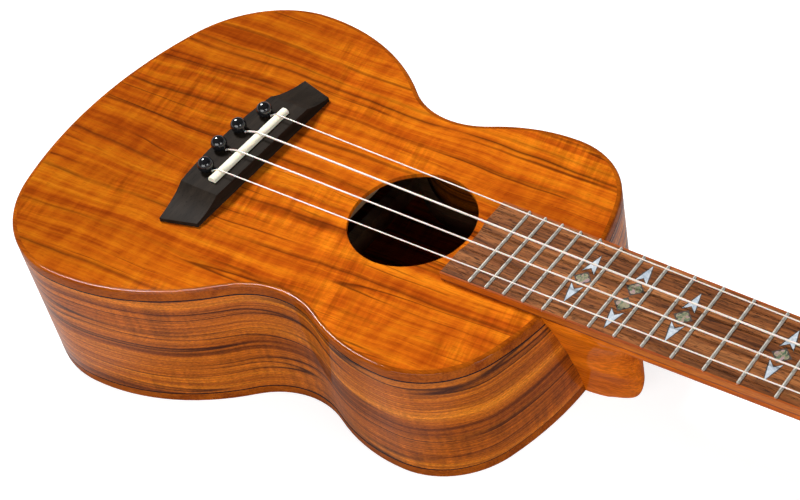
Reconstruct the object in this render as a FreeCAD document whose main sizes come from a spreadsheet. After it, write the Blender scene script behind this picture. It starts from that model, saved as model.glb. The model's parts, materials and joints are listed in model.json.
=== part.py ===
import FreeCAD, Part
import math
import os
import Sketcher
from FreeCAD import Placement, Rotation, Vector

# A concert ukulele with a koa body, bridge pins and geared tuners.
#
# Two frames are used.  The instrument frame has its origin on the soundboard's top
# face under the saddle's scale line: +X runs to the nut, +Y to the G string (bass
# side), +Z out of the soundboard.  The row frame has its origin on the back's
# underside, which lies flat on z = 0.  The body is deeper at the tail than at the
# neck, so the two frames differ by the tilt between the soundboard and the back.

SIZES = {
    # scale, strings and nut
    "scale_length": 380.0,
    "fret_count": 18,
    "string_spread_saddle": 41.4,
    "string_spread_nut": 26.7,
    "string_radius_thin": 0.29,
    "string_radius_e": 0.36,
    "string_radius_c": 0.44,
    "string_seat_saddle": 8.9,
    "string_seat_nut": 5.5,
    # body outline: a chain of tangent arcs, tail to neck end
    "tail_x": -102.0,
    "tail_radius": 190.0,
    "tail_sweep": 18.5,
    "lower_radius": 57.5,
    "lower_sweep": 71.5,
    "flank_radius": 117.0,
    "flank_sweep": 41.0,
    "waist_radius": 41.0,
    "waist_sweep": 68.0,
    "upper_radius": 84.0,
    "upper_sweep": 29.0,
    "shoulder_radius": 40.5,
    "shoulder_sweep": 68.5,
    # body construction
    "depth_at_saddle": 71.0,
    "back_tilt": 2.4,
    "wall": 2.2,
    "plate": 2.0,
    "binding_height": 4.8,
    "binding_round": 1.2,
    "purfling_height": 0.8,
    "lining_width": 4.5,
    "lining_height": 9.0,
    "soundhole_x": 88.4,
    "soundhole_radius": 28.5,
    "block_width": 48.0,
    "neck_block_depth": 22.0,
    "tail_block_depth": 14.0,
    "graft_width": 10.0,
    "brace_width": 6.0,
    "brace_height": 10.0,
    "lining_gap": 0.6,
    "fan_brace_width": 4.0,
    "fan_brace_height": 6.0,
    "fan_brace_length": 60.0,
    "fan_brace_spread": 34.0,
    "fan_brace_turn": 14.0,
    "hole_brace_gap": 9.0,
    "back_brace_low_x": -58.0,
    "back_brace_mid_x": 25.0,
    "back_brace_high_x": 122.0,
    "seam_strip_width": 14.0,
    "seam_strip_height": 1.8,
    "bridge_plate_x": -26.0,
    "bridge_plate_width": 36.0,
    "bridge_plate_length": 112.0,
    "bridge_plate_height": 1.8,
    # bridge, saddle and pins
    "bridge_front_x": 5.5,
    "bridge_front_half": 47.0,
    "bridge_tip_x": -12.9,
    "bridge_tip_half": 52.0,
    "bridge_tip_dip": 0.3,
    "bridge_waist_x": -15.5,
    "bridge_waist_half": 36.5,
    "bridge_scoop_foot": 50.0,
    "bridge_rear_x": -18.8,
    "bridge_height": 6.5,
    "bridge_wing_height": 2.0,
    "bridge_deck_half": 32.0,
    "bridge_cut_reach": 60.0,
    "bridge_cut_rise": 2.0,
    "saddle_x": -2.4,
    "saddle_thick": 4.0,
    "saddle_length": 52.4,
    "saddle_slot_depth": 3.0,
    "saddle_crown": 0.9,
    "string_seat_gap": 0.05,
    "pin_outer_x": -10.2,
    "pin_inner_x": -14.2,
    "pin_outer_y": 20.8,
    "pin_inner_y": 6.9,
    "pin_ball_radius": 3.75,
    "pin_ball_z": 9.34,
    "pin_top_radius": 2.45,
    "pin_end_radius": 1.9,
    "pin_length": 17.0,
    "pin_clearance": 0.08,
    "string_gap": 0.5,
    "string_lift": 0.55,
    "string_bend_pin": 1.2,
    "string_bend_nut": 3.0,
    "notch_clearance": 0.2,
    "knot_radius": 1.4,
    # fretboard and neck
    "board_thick": 4.0,
    "board_end_x": 120.4,
    "board_end_half": 23.6,
    "board_nut_half": 17.6,
    "board_end_arc": 33.4,
    "board_binding": 0.8,
    "fret_width": 1.4,
    "fret_crown": 0.8,
    "fret_inset": 0.6,
    "tang_width": 0.55,
    "tang_depth": 1.6,
    "tang_end_gap": 0.3,
    "inlay_depth": 1.2,
    "dot_radius": 1.0,
    "dot_depth": 0.6,
    "dot_pair_gap": 2.2,
    "arrow_start": 3.9,
    "arrow_length": 10.1,
    "arrow_notch": 2.7,
    "arrow_half_width": 2.75,
    "arrow_waist": 3.9,
    "arrow_waist_share": 0.6,
    "clover_step": 4.6,
    "petal_radius": 1.35,
    "petal_reach": 1.6,
    "nut_thick": 4.5,
    "nut_height": 6.1,
    "nut_round": 0.8,
    "nut_slot_clearance": 0.08,
    "neck_depth_heel": 12.4,
    "neck_depth_nut": 11.4,
    "neck_cove_x": 210.0,
    "neck_cove_radius": 12.0,
    "heel_root_x": 168.0,
    "heel_depth": 62.5,
    "heel_low_half": 3.5,
    "heel_taper": 1.25,
    "throat_length": 24.0,
    # headstock, in its own frame behind the nut
    "headstock_angle": 7.0,
    "headstock_length": 136.0,
    "headstock_thick": 12.0,
    "headstock_root_half": 18.2,
    "headstock_wide_half": 29.0,
    "crown_corner_inset": 6.0,
    "faceplate_thick": 1.5,
    # tuners
    "post_near_u": 36.0,
    "post_far_u": 88.0,
    "post_near_v": 17.0,
    "post_far_v": 18.5,
    "post_radius": 3.0,
    "post_top": 12.5,
    "post_dome_height": 1.2,
    "post_dome_inset": 1.0,
    "post_hole_radius": 0.8,
    "post_bore_clearance": 0.06,
    "bushing_radius": 4.4,
    "bushing_flange": 5.6,
    "bushing_depth": 6.0,
    "bushing_lip": 0.8,
    "tuner_plate_thick": 1.0,
    "tuner_plate_back": 9.5,
    "tuner_plate_front": 3.0,
    "gear_teeth": 14,
    "gear_module": 0.85,
    "gear_thick": 3.0,
    "tooth_root_half": 0.66,
    "tooth_tip_half": 0.3,
    "hub_wall": 1.4,
    "hub_gap": 0.15,
    "worm_root_radius": 1.9,
    "worm_tip_radius": 3.2,
    "worm_pitch_radius": 2.6,
    "worm_turns": 3,
    "thread_root_half": 0.55,
    "thread_tip_half": 0.3,
    "thread_bury": 0.3,
    "gear_drop": 2.1,
    "winding_height": 6.5,
    "winding_turns": 4,
    "winding_pack": 0.9,
    "winding_gap": 0.35,
    "shaft_inner": 8.2,
    "shaft_outer": 24.0,
    "lug_inner": 5.2,
    "lug_outer": 7.2,
    "lug_radius": 2.7,
    "screw_radius": 0.9,
    "screw_length": 7.0,
    "screw_back": 7.2,
    "screw_side": 5.6,
    "screw_head_radius": 2.1,
    "screw_head_height": 1.0,
    "screw_slot_half": 1.2,
    "screw_slot_width": 0.4,
    "button_start": 14.0,
    "button_length": 13.0,
    "button_half_width": 7.5,
    "button_half_thick": 4.2,
    "button_neck_radius": 2.7,
    "button_neck_length": 5.0,
    "button_neck_show": 2.0,
    "button_round_share": 0.7,
    "button_fit": 0.01,
}

STRINGS = ("g", "c", "e", "a")

doc = FreeCAD.newDocument("ukulele")
sheet = doc.addObject("Spreadsheet::Sheet", "sizes")
for row, (alias, value) in enumerate(SIZES.items(), start=1):
    sheet.set("A%d" % row, alias)
    sheet.set("B%d" % row, str(value))
    sheet.setAlias("B%d" % row, alias)
doc.recompute()


def size(alias):
    """The value of one cell of the sheet."""
    return float(sheet.get(alias))


# ---------------------------------------------------------------- frames

TILT = size("back_tilt")
AXIS_Y = Vector(0, 1, 0)
AXIS_Z = Vector(0, 0, 1)
BODY_DEPTH = size("depth_at_saddle")
ROW = Placement(
    Vector(BODY_DEPTH * math.sin(math.radians(TILT)), 0, BODY_DEPTH * math.cos(math.radians(TILT))),
    Rotation(AXIS_Y, TILT),
)
NUT_BACK_X = size("scale_length") + size("nut_thick")
HEAD = Placement(Vector(NUT_BACK_X, 0, 0), Rotation(AXIS_Y, size("headstock_angle")))

SUBPARTS = []


def keep(item, label, frame=None):
    """Name a finished sub-part and put it in the row frame."""
    item.Label = label
    item.Placement = ROW if frame is None else frame
    SUBPARTS.append(item)
    return item


def keep_shape(shape, label, frame=None):
    """Store a shape made with Part's own functions as a sub-part."""
    feature = doc.addObject("Part::Feature", label)
    feature.Shape = shape
    return keep(feature, label, (ROW if frame is None else frame) * shape.Placement)


# ---------------------------------------------------------------- sketch helpers

def new_body(name):
    return doc.addObject("PartDesign::Body", name)


def new_sketch(body, role, offset=None):
    """A sketch on one of the body's own origin planes; offset is an expression."""
    plane = [item for item in body.Origin.OriginFeatures if item.Role == role][0]
    sketch = body.newObject("Sketcher::SketchObject", body.Name + "_sketch")
    sketch.AttachmentSupport = [(plane, "")]
    sketch.MapMode = "FlatFace"
    if offset:
        sketch.setExpression("AttachmentOffset.Base.z", offset)
    return sketch


def bind(sketch, constraint, expression):
    """Add a constraint and drive it by a sheet expression."""
    index = sketch.addConstraint(constraint)
    sketch.setExpression("Constraints[%d]" % index, expression)


def fix_point(sketch, geometry, position, across, up):
    """Hold one point of a sketch at sheet-driven coordinates."""
    point = sketch.getPoint(geometry, position)
    bind(sketch, Sketcher.Constraint("DistanceX", -1, 1, geometry, position, point.x), across)
    bind(sketch, Sketcher.Constraint("DistanceY", -1, 1, geometry, position, point.y), up)


def add_polygon(sketch, corners):
    """A closed polygon; corners are pairs of expressions, listed counter-clockwise."""
    count = len(corners)
    start = [
        Vector(10 * math.cos(2 * math.pi * k / count), 10 * math.sin(2 * math.pi * k / count), 0)
        for k in range(count)
    ]
    first = sketch.GeometryCount
    for k in range(count):
        sketch.addGeometry(Part.LineSegment(start[k], start[(k + 1) % count]), False)
    for k in range(count):
        sketch.addConstraint(Sketcher.Constraint("Coincident", first + k, 2, first + (k + 1) % count, 1))
    for k, (across, up) in enumerate(corners):
        fix_point(sketch, first + k, 1, across, up)


def add_circle(sketch, across, up, radius):
    """A circle whose centre and radius are expressions."""
    circle = sketch.addGeometry(Part.Circle(Vector(1, 1, 0), Vector(0, 0, 1), 1.0), False)
    fix_point(sketch, circle, 3, across, up)
    bind(sketch, Sketcher.Constraint("Radius", circle, 1.0), radius)


def pad(body, sketch, length, symmetric=False, down=False):
    feature = body.newObject("PartDesign::Pad", body.Name + "_pad")
    feature.Profile = sketch
    feature.setExpression("Length", length)
    feature.Midplane = symmetric
    feature.Reversed = down
    sketch.Visibility = False
    doc.recompute()
    return feature


def pocket(body, sketch, length, symmetric=False, up=False):
    """Cut a sketch into the body and check that it removed material."""
    before = body.Shape.Volume
    feature = body.newObject("PartDesign::Pocket", body.Name + "_pocket")
    feature.Profile = sketch
    feature.setExpression("Length", length)
    feature.Midplane = symmetric
    feature.Reversed = up
    doc.recompute()
    if not body.Shape.Volume < before:
        raise ValueError(body.Name + ": a pocket cut nothing")
    return feature


def revolve(body, sketch, axis="V_Axis"):
    feature = body.newObject("PartDesign::Revolution", body.Name + "_turn")
    feature.Profile = sketch
    feature.ReferenceAxis = (sketch, [axis])
    feature.Angle = 360
    doc.recompute()
    return feature


# ---------------------------------------------------------------- body outline

OUTLINE_ARCS = [
    ("tail_radius", "tail_sweep", 1),
    ("lower_radius", "lower_sweep", 1),
    ("flank_radius", "flank_sweep", 1),
    ("waist_radius", "waist_sweep", -1),
    ("upper_radius", "upper_sweep", 1),
    ("shoulder_radius", "shoulder_sweep", 1),
]


def outline_arc(start, heading, radius, turn):
    """One arc from start; turn is positive clockwise, in radians.  Returns arc and end."""
    side = 1 if turn > 0 else -1
    centre = start + Vector(math.sin(heading), -math.cos(heading), 0) * (radius * side)

    def at(angle):
        return centre - Vector(math.sin(angle), -math.cos(angle), 0) * (radius * side)

    end = at(heading - turn)
    return Part.Arc(start, at(heading - turn / 2), end).toShape(), end


def half_outline(inset):
    """Edges of the bass half of the outline, moved inwards by inset."""
    point = Vector(size("tail_x") + inset, 0, 0)
    heading = math.pi / 2
    edges = []
    for radius_name, sweep_name, side in OUTLINE_ARCS:
        radius = size(radius_name) - side * inset
        turn = side * math.radians(size(sweep_name))
        edge, point = outline_arc(point, heading, radius, turn)
        edges.append(edge)
        heading -= turn
    last_turn = heading + math.pi / 2
    last_radius = point.y / math.sin(last_turn)
    edge, point = outline_arc(point, heading, last_radius, last_turn)
    edges.append(edge)
    return edges


def outline_prism(inset, low, high):
    """The closed outline, moved inwards and extruded between two heights."""
    bass = half_outline(inset)
    treble = [edge.mirror(Vector(0, 0, 0), AXIS_Y) for edge in bass]
    wire = Part.Wire(Part.__sortEdges__(bass + treble))
    face = Part.Face(wire)
    face.translate(Vector(0, 0, low))
    return face.extrude(Vector(0, 0, high - low))


def outline_ring(inset, width, low, high):
    return outline_prism(inset, low, high).cut(outline_prism(inset + width, low - 1, high + 1))


def block(low, high):
    """An axis-aligned box from its low corner to its high corner."""
    span = Vector(*high) - Vector(*low)
    return Part.makeBox(span.x, span.y, span.z, Vector(*low))


FAR = 400.0


def above_back(low, high):
    """The slab between two heights above the back's underside, in the instrument frame."""
    slab = block((-FAR, -FAR, low), (FAR, FAR, high))
    slab.Placement = ROW.inverse()
    return slab


# ---------------------------------------------------------------- body shell

WALL = size("wall")
PLATE = size("plate")
BINDING = size("binding_height")
EDGE = BINDING + size("purfling_height")
DEEP = -BODY_DEPTH - 20.0


def end_half_width():
    """Half the width of the end graft, which separates the two sides at the tail."""
    return size("graft_width") / 2


def round_outer_edge(shape, height):
    """Round the outer edge of a ring at one height."""
    edges = []
    for edge in shape.Edges:
        box = edge.BoundBox
        if abs(box.ZMin - height) < 1e-4 and abs(box.ZMax - height) < 1e-4:
            middle = edge.valueAt((edge.FirstParameter + edge.LastParameter) / 2)
            probe = Part.Vertex(middle)
            if OUTER_WALL.distToShape(probe)[0] < 1e-3:
                edges.append(edge)
    return shape.makeFillet(size("binding_round"), edges).Solids[0]


OUTER_WALL = Part.makeShell(outline_prism(0.0, DEEP, 20.0).Faces)


def make_rims():
    top = outline_ring(0.0, WALL, -BINDING, 0.0)
    keep_shape(round_outer_edge(top, 0.0), "top_binding")
    keep_shape(outline_ring(0.0, WALL, -EDGE, -BINDING), "top_purfling")
    back = outline_ring(0.0, WALL, 0.0, BINDING)
    keep_shape(round_outer_edge(back, 0.0), "back_binding", Placement())
    keep_shape(outline_ring(0.0, WALL, BINDING, EDGE), "back_purfling", Placement())


def make_sides():
    shell = outline_ring(0.0, WALL, DEEP, -EDGE).common(above_back(EDGE, FAR))
    graft_zone = block((-FAR, -end_half_width(), DEEP), (0, end_half_width(), 0))
    keep_shape(shell.common(graft_zone), "end_graft")
    shell = shell.cut(graft_zone)
    keep_shape(shell.common(block((-FAR, 0, DEEP), (FAR, FAR, 0))), "side_bass")
    keep_shape(shell.common(block((-FAR, -FAR, DEEP), (FAR, 0, 0))), "side_treble")


def block_zones():
    """Boxes that the neck block and the tail block fill inside the sides."""
    half = size("block_width") / 2
    neck_x = outline_end_x() - WALL - size("neck_block_depth")
    tail_x = size("tail_x") + WALL + size("tail_block_depth")
    neck_zone = block((neck_x, -half, DEEP), (FAR, half, -PLATE))
    tail_zone = block((-FAR, -half, DEEP), (tail_x, half, -PLATE))
    return neck_zone, tail_zone


def outline_end_x():
    return outline_prism(0.0, 0.0, 1.0).BoundBox.XMax


def inside_rims(inset):
    """The room inside the sides and, lower down, inside the back's edge strips."""
    low = outline_prism(inset, PLATE, EDGE)
    low.Placement = ROW.inverse()
    allowed = low.fuse(above_back(EDGE, FAR))
    return outline_prism(inset, DEEP, -PLATE).common(allowed)


def make_blocks_and_linings():
    inside = inside_rims(WALL)
    neck_zone, tail_zone = block_zones()
    keep_shape(inside.common(neck_zone), "neck_block")
    keep_shape(inside.common(tail_zone), "tail_block")
    width = size("lining_width")
    height = size("lining_height")
    ring = outline_ring(WALL, width, -PLATE - height, -PLATE)
    keep_shape(ring.cut([neck_zone, tail_zone]), "top_lining")
    gap = size("lining_gap")
    ring = outline_ring(WALL + gap, width, PLATE, PLATE + height)
    ring.Placement = ROW.inverse()
    keep_shape(ring.cut([neck_zone, tail_zone]), "back_lining")


def pin_points():
    """Bridge pin places in string order: g, c, e, a."""
    outer = (size("pin_outer_x"), size("pin_outer_y"))
    inner = (size("pin_inner_x"), size("pin_inner_y"))
    return [outer, inner, (inner[0], -inner[1]), (outer[0], -outer[1])]


def string_radius(name):
    return {"c": size("string_radius_c"), "e": size("string_radius_e")}.get(name, size("string_radius_thin"))


def string_drop_x(pin_x, radius):
    """Where a string runs down beside its pin, on the side facing the saddle."""
    return pin_x + size("pin_top_radius") + size("string_gap") + radius


def pin_holes(low, high):
    """Bores for the four pins, each with a notch that its string runs down."""
    bore = size("pin_top_radius") + size("pin_clearance")
    tools = []
    for name, (x, y) in zip(STRINGS, pin_points()):
        radius = string_radius(name) + size("notch_clearance")
        tools.append(Part.makeCylinder(bore, high - low, Vector(x, y, low)))
        reach = string_drop_x(x, string_radius(name)) + radius
        tools.append(block((x, y - radius, low), (reach, y + radius, high)))
    return tools


def make_plates():
    top = outline_prism(WALL, -PLATE, 0.0)
    hole = Part.makeCylinder(size("soundhole_radius"), PLATE + 2, Vector(size("soundhole_x"), 0, -PLATE - 1))
    keep_shape(top.cut([hole] + pin_holes(-PLATE - 1, 1)), "soundboard")
    keep_shape(outline_prism(WALL, 0.0, PLATE), "back_plate", Placement())


def brace(x, y, length, width, height, angle, base):
    """A bar centred at (x, y), turned about Z, standing from base by height."""
    bar = block((-length / 2, -width / 2, 0), (length / 2, width / 2, height))
    bar.Placement = Placement(Vector(x, y, base), Rotation(Vector(0, 0, 1), angle))
    return bar


def make_braces():
    width = size("brace_width")
    height = size("brace_height")
    neck_zone, tail_zone = block_zones()
    inside = outline_prism(WALL + size("lining_width"), DEEP, -PLATE)
    plate_x = size("bridge_plate_x")
    plate_end = plate_x + size("bridge_plate_width")
    half = size("bridge_plate_length") / 2
    plate = block((plate_x, -half, -PLATE - size("bridge_plate_height")), (plate_end, half, -PLATE))
    keep_shape(plate.cut(pin_holes(-FAR, 0)), "bridge_plate")

    beside_hole = size("soundhole_radius") + size("hole_brace_gap")
    hole_x = size("soundhole_x")
    cross_places = (hole_x - beside_hole, hole_x + beside_hole)
    cross = [brace(x, 0, 2 * FAR, width, height, 90, -PLATE - height) for x in cross_places]
    fan_height = size("fan_brace_height")
    fan_end = plate_x - 1
    fan_mid = (fan_end + size("tail_x")) / 2
    fan_length = size("fan_brace_length")
    fan_width = size("fan_brace_width")
    fans = []
    for side in (-1, 0, 1):
        offset = side * size("fan_brace_spread")
        turn = -side * size("fan_brace_turn")
        fans.append(brace(fan_mid, offset, fan_length, fan_width, fan_height, turn, -PLATE - fan_height))
    fan_region = block((-FAR, -FAR, DEEP), (fan_end, FAR, 0))
    bars = [bar.common(inside) for bar in cross]
    bars += [bar.common(inside).common(fan_region).cut(tail_zone) for bar in fans]
    keep_shape(Part.makeCompound(bars), "soundboard_braces")

    inner = outline_prism(WALL + size("lining_gap") + size("lining_width"), 0.0, FAR)
    places = [size("back_brace_%s_x" % name) for name in ("low", "mid", "high")]
    back_bars = [brace(x, 0, 2 * FAR, width, height, 90, PLATE).common(inner) for x in places]
    keep_shape(Part.makeCompound(back_bars), "back_braces", Placement())
    strip_half = size("seam_strip_width") / 2
    low_x = size("tail_x") + WALL + size("tail_block_depth") + 6
    high_x = outline_end_x() - WALL - size("neck_block_depth") - 3
    strip = block((low_x, -strip_half, PLATE), (high_x, strip_half, PLATE + size("seam_strip_height")))
    keep_shape(strip.cut(back_bars), "back_seam_strip", Placement())


# ---------------------------------------------------------------- bridge group

def add_arc(sketch, start, middle, end, start_at, end_at, radius):
    """An arc through three points, held by its two ends and its radius."""
    arc = sketch.addGeometry(Part.Arc(Vector(*start), Vector(*middle), Vector(*end)), False)
    first = 1 if sketch.getPoint(arc, 1).distanceToPoint(Vector(*start)) < 1e-6 else 2
    fix_point(sketch, arc, first, *start_at)
    fix_point(sketch, arc, 3 - first, *end_at)
    bind(sketch, Sketcher.Constraint("Radius", arc, sketch.Geometry[arc].Radius), radius)


def add_line(sketch, start, end, start_at, end_at):
    line = sketch.addGeometry(Part.LineSegment(Vector(*start), Vector(*end)), False)
    fix_point(sketch, line, 1, *start_at)
    fix_point(sketch, line, 2, *end_at)


def bridge_plan(sketch):
    """Straight front, slanted wing tips and a bow-shaped rear edge."""
    front = size("bridge_front_x")
    front_half = size("bridge_front_half")
    tip = size("bridge_tip_x")
    tip_half = size("bridge_tip_half")
    waist = size("bridge_waist_x")
    waist_half = size("bridge_waist_half")
    rear = size("bridge_rear_x")
    f_at = "sizes.bridge_front_x"
    t_at = "sizes.bridge_tip_x"
    w_at = "sizes.bridge_waist_x"
    fh = "sizes.bridge_front_half"
    th = "sizes.bridge_tip_half"
    wh = "sizes.bridge_waist_half"
    add_line(sketch, (front, -front_half, 0), (front, front_half, 0), (f_at, "-" + fh), (f_at, fh))
    chord = "((sizes.bridge_waist_x - sizes.bridge_tip_x)^2"
    chord += " + (sizes.bridge_tip_half - sizes.bridge_waist_half)^2)"
    dish = "(%s / 4 + sizes.bridge_tip_dip^2) / (2 * sizes.bridge_tip_dip)" % chord
    tip_mid = (tip + waist) / 2
    for side, sign in ((1, ""), (-1, "-")):
        front_end = (front, side * front_half, 0)
        tip_end = (tip, side * tip_half, 0)
        waist_end = (waist, side * waist_half, 0)
        add_line(sketch, front_end, tip_end, (f_at, sign + fh), (t_at, sign + th))
        middle = (tip_mid - size("bridge_tip_dip"), side * (tip_half + waist_half) / 2, 0)
        add_arc(sketch, tip_end, middle, waist_end, (t_at, sign + th), (w_at, sign + wh), dish)
    bow = "((sizes.bridge_waist_x - sizes.bridge_rear_x)^2 + sizes.bridge_waist_half^2)"
    bow += " / (2 * (sizes.bridge_waist_x - sizes.bridge_rear_x))"
    add_arc(sketch, (waist, waist_half, 0), (rear, 0, 0), (waist, -waist_half, 0),
            (w_at, wh), (w_at, "-" + wh), bow)


def make_bridge():
    body = new_body("bridge")
    plan = new_sketch(body, "XY_Plane")
    bridge_plan(plan)
    pad(body, plan, "sizes.bridge_height")
    scoop = new_sketch(body, "YZ_Plane")
    deck = size("bridge_deck_half")
    top = size("bridge_height")
    wing = size("bridge_wing_height")
    foot = size("bridge_scoop_foot")
    reach = size("bridge_cut_reach")
    rise = top + size("bridge_cut_rise")
    rise_at = "sizes.bridge_height + sizes.bridge_cut_rise"
    for side, sign in ((1, ""), (-1, "-")):
        rim = (side * reach, rise, 0)
        rim_at = (sign + "sizes.bridge_cut_reach", rise_at)
        over = (side * deck, rise, 0)
        over_at = (sign + "sizes.bridge_deck_half", rise_at)
        edge = (side * deck, top, 0)
        edge_at = (sign + "sizes.bridge_deck_half", "sizes.bridge_height")
        low = (side * foot, wing, 0)
        low_at = (sign + "sizes.bridge_scoop_foot", "sizes.bridge_wing_height")
        out = (side * reach, wing, 0)
        out_at = (sign + "sizes.bridge_cut_reach", "sizes.bridge_wing_height")
        add_line(scoop, rim, over, rim_at, over_at)
        add_line(scoop, over, edge, over_at, edge_at)
        drop = "(sizes.bridge_height - sizes.bridge_wing_height)"
        run = "(sizes.bridge_scoop_foot - sizes.bridge_deck_half)"
        radius = "(%s^2 + %s^2) / (2 * %s)" % (run, drop, drop)
        bend = ((foot - deck) ** 2 + (top - wing) ** 2) / (2 * (top - wing))
        half_turn = math.atan2(top - wing, foot - deck)
        mid = (side * (foot - bend * math.sin(half_turn)), wing + bend * (1 - math.cos(half_turn)), 0)
        add_arc(scoop, edge, mid, low, edge_at, low_at, radius)
        add_line(scoop, low, out, low_at, out_at)
        add_line(scoop, out, rim, out_at, rim_at)
    pocket(body, scoop, "2 * sizes.bridge_cut_reach", symmetric=True)
    slot = new_sketch(body, "XY_Plane", "sizes.bridge_height")
    add_polygon(slot, rectangle("sizes.saddle_x", "0", "sizes.saddle_thick", "sizes.saddle_length"))
    pocket(body, slot, "sizes.saddle_slot_depth")
    holes = new_sketch(body, "XY_Plane", "sizes.bridge_height")
    for x_at, y_at in PIN_PLACES:
        add_circle(holes, x_at, y_at, "sizes.pin_top_radius + sizes.pin_clearance")
    pocket(body, holes, "sizes.bridge_height")
    notches = new_sketch(body, "XY_Plane", "sizes.bridge_height")
    for (x_at, y_at), radius in zip(PIN_PLACES, STRING_RADII):
        reach = "(sizes.pin_top_radius + sizes.string_gap + 2 * %s + sizes.notch_clearance)" % radius
        across = "(2 * %s + 2 * sizes.notch_clearance)" % radius
        add_polygon(notches, rectangle(x_at + " + %s / 2" % reach, y_at, reach, across))
    pocket(body, notches, "sizes.bridge_height")
    keep(body, "bridge")


def rectangle(across, up, width, height):
    """Corner expressions of a rectangle about a centre, counter-clockwise."""
    left = "%s - %s / 2" % (across, width)
    right = "%s + %s / 2" % (across, width)
    low = "%s - %s / 2" % (up, height)
    high = "%s + %s / 2" % (up, height)
    return [(left, low), (right, low), (right, high), (left, high)]


PIN_PLACES = [
    ("sizes.pin_outer_x", "sizes.pin_outer_y"),
    ("sizes.pin_inner_x", "sizes.pin_inner_y"),
    ("sizes.pin_inner_x", "-sizes.pin_inner_y"),
    ("sizes.pin_outer_x", "-sizes.pin_outer_y"),
]
STRING_RADII = [
    "sizes.string_radius_thin",
    "sizes.string_radius_c",
    "sizes.string_radius_e",
    "sizes.string_radius_thin",
]


def make_saddle():
    """A bone bar standing in the bridge slot, its top rounded across the strings."""
    body = new_body("saddle")
    profile = new_sketch(body, "XZ_Plane")
    half = size("saddle_thick") / 2
    x = size("saddle_x")
    low = size("bridge_height") - size("saddle_slot_depth")
    crown = size("string_seat_saddle")
    side_z = crown - size("saddle_crown")
    left_at = "sizes.saddle_x - sizes.saddle_thick / 2"
    right_at = "sizes.saddle_x + sizes.saddle_thick / 2"
    low_at = "sizes.bridge_height - sizes.saddle_slot_depth"
    side_at = "sizes.string_seat_saddle - sizes.saddle_crown"
    add_line(profile, (x - half, low, 0), (x + half, low, 0), (left_at, low_at), (right_at, low_at))
    add_line(profile, (x + half, low, 0), (x + half, side_z, 0), (right_at, low_at), (right_at, side_at))
    add_line(profile, (x - half, side_z, 0), (x - half, low, 0), (left_at, side_at), (left_at, low_at))
    bow = "((sizes.saddle_thick / 2)^2 + sizes.saddle_crown^2) / (2 * sizes.saddle_crown)"
    add_arc(profile, (x + half, side_z, 0), (x, crown, 0), (x - half, side_z, 0),
            (right_at, side_at), (left_at, side_at), bow)
    pad(body, profile, "sizes.saddle_length", symmetric=True)
    keep(body, "saddle")


def make_pins():
    """Tapered pins with ball heads, one in each bore of the bridge."""
    ball = size("pin_ball_radius")
    centre = size("pin_ball_z")
    neck = size("pin_top_radius")
    neck_z = centre - math.sqrt(ball ** 2 - neck ** 2)
    end = size("pin_end_radius")
    tail = size("bridge_height") - size("pin_length")
    neck_at = "sizes.pin_ball_z - sqrt(sizes.pin_ball_radius^2 - sizes.pin_top_radius^2)"
    tail_at = "sizes.bridge_height - sizes.pin_length"
    top_at = "sizes.pin_ball_z + sizes.pin_ball_radius"
    for name, (x, y) in zip(STRINGS, pin_points()):
        body = new_body("bridge_pin_" + name)
        profile = new_sketch(body, "XZ_Plane")
        add_line(profile, (0, centre + ball, 0), (0, tail, 0), ("0", top_at), ("0", tail_at))
        add_line(profile, (0, tail, 0), (end, tail, 0), ("0", tail_at), ("sizes.pin_end_radius", tail_at))
        add_line(profile, (end, tail, 0), (neck, neck_z, 0),
                 ("sizes.pin_end_radius", tail_at), ("sizes.pin_top_radius", neck_at))
        add_arc(profile, (neck, neck_z, 0), (ball, centre, 0), (0, centre + ball, 0),
                ("sizes.pin_top_radius", neck_at), ("0", top_at), "sizes.pin_ball_radius")
        revolve(body, profile)
        keep(body, "bridge_pin_" + name, ROW * Placement(Vector(x, y, 0), Rotation()))


# ---------------------------------------------------------------- fretboard group

BOARD = size("board_thick")


def board_half(x):
    """Half the width of the bound fretboard at x."""
    share = (x - size("board_end_x")) / (size("scale_length") - size("board_end_x"))
    return size("board_end_half") + share * (size("board_nut_half") - size("board_end_half"))


def fret_x(number):
    return size("scale_length") * 2 ** (-number / 12)


def tapered_slab(inset):
    """The fretboard's tapered plan, narrower by inset on each side."""
    low_x = size("board_end_x")
    high_x = size("scale_length")
    low_half = board_half(low_x) - inset
    high_half = board_half(high_x) - inset
    corners = [
        Vector(low_x, -low_half, 0),
        Vector(high_x, -high_half, 0),
        Vector(high_x, high_half, 0),
        Vector(low_x, low_half, 0),
    ]
    face = Part.Face(Part.makePolygon(corners + corners[:1]))
    return face.extrude(Vector(0, 0, BOARD))


def fret_numbers():
    return range(1, int(size("fret_count")) + 1)


def make_fret(x):
    """One fret: a D-shaped crown with round ends on a narrow tang."""
    width = size("fret_width")
    crown = size("fret_crown")
    half = board_half(x) - size("fret_inset")
    bend = (width ** 2 / 4 + crown ** 2) / (2 * crown)
    bar = Part.makeCylinder(bend, 2 * half, Vector(x, -half, BOARD + crown - bend), AXIS_Y)
    end_y = half - width / 2
    ends = [Part.makeCylinder(width / 2, 2 * BOARD, Vector(x, y, BOARD)) for y in (-end_y, end_y)]
    between = block((x - width / 2, -end_y, BOARD), (x + width / 2, end_y, 2 * BOARD))
    return bar.common(between.fuse(ends).removeSplitter()).fuse(make_tang(x))


def make_tang(x):
    half = board_half(x) - size("board_binding") - size("tang_end_gap")
    width = size("tang_width")
    return block((x - width / 2, -half, BOARD - size("tang_depth")), (x + width / 2, half, BOARD))


def inlay(points):
    face = Part.Face(Part.makePolygon(points + points[:1]))
    face.translate(Vector(0, 0, BOARD - size("inlay_depth")))
    return face.extrude(Vector(0, 0, size("inlay_depth")))


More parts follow.
